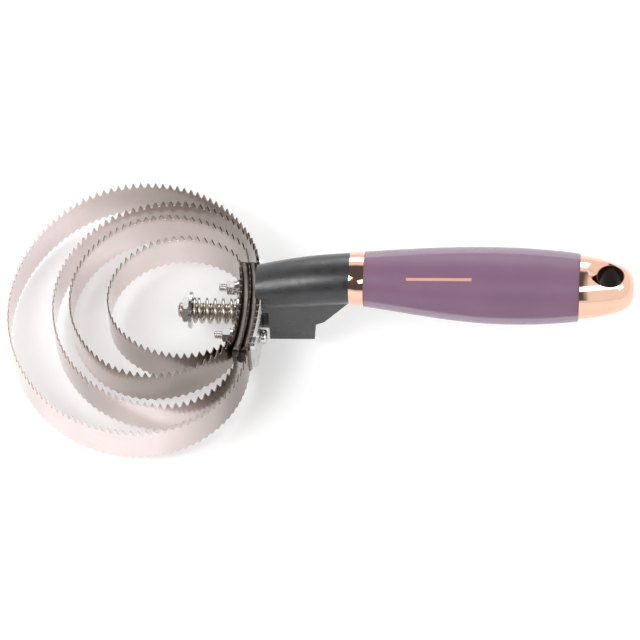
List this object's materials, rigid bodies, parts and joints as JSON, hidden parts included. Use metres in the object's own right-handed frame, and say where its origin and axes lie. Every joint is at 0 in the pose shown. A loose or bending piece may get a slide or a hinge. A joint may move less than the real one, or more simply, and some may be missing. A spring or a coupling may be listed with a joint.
{
  "type": "reversible spring curry comb",
  "caption": "Grooming comb with nested toothed steel loops in a sprung clamp that pulls out and flips over, on a cranked neck with a long moulded grip and a hanging hole.",
  "frame": {"origin": "middle of the bottom of the whole tool's box, below the clamp", "axes": "+X along the bolt and the grip, from the loops towards the hanging hole; +Z towards the coarse teeth and the raised grip; the loops are wider on one side, so the plane through the bolt and the grip lies at Y = 2.95 mm"},
  "size_m": [0.252, 0.1218, 0.0569],
  "materials": {
    "band_steel": "satin stainless strip with toothed edges",
    "rail_steel": "rolled steel bar, worn grey",
    "zinc_plate": "bright zinc-plated sheet",
    "fastener_zinc": "bright zinc plate",
    "bolt_steel": "yellow-tinted machined steel",
    "spring_steel": "plated spring wire",
    "neck_plastic": "fine-textured black moulding",
    "rose_gold_metal": "mirror rose-gold plate",
    "rose_gold_plated": "moulded cap with mirror rose-gold plate",
    "frosted_sleeve": "frosted translucent soft plastic",
    "mauve_grip": "mauve moulding seen through the sleeve"
  },
  "bodies": {
    "handle": {"neck": "neck_plastic", "centre_bolt": "bolt_steel", "bolt_head_washer": "fastener_zinc", "bolt_washer": "fastener_zinc", "bolt_nut": "fastener_zinc", "compression_spring": "spring_steel", "ferrule": "rose_gold_metal", "grip_sleeve": "frosted_sleeve", "grip_core": "mauve_grip", "core_rod": "bolt_steel", "end_cap": "rose_gold_plated"},
    "spring_seat": {"spring_seat_washer": "fastener_zinc"},
    "ring_head": {"ring_band_1": "band_steel", "ring_band_2": "band_steel", "ring_band_3": "band_steel", "ring_band_4": "band_steel", "outer_clamp_rail": "rail_steel", "inner_clamp_rail": "rail_steel", "lock_plate": "zinc_plate", "clamp_screws": "fastener_zinc", "clamp_washers": "fastener_zinc", "clamp_lock_washers": "fastener_zinc", "clamp_nuts": "fastener_zinc"}
  },
  "joints": [
    {"name": "pull", "type": "slide", "parent": "handle", "child": "spring_seat", "axis": [-1, 0, 0], "range_m": [0, 0.008], "stiffness_N_per_m": 1200, "springref_m": -0.006, "deforming": ["compression_spring"]},
    {"name": "flip", "type": "hinge", "parent": "spring_seat", "child": "ring_head", "pos_m": [-0.02208, 0.00295, 0.01617], "axis": [1, 0, 0], "range_deg": [0, 180]}
  ]
}
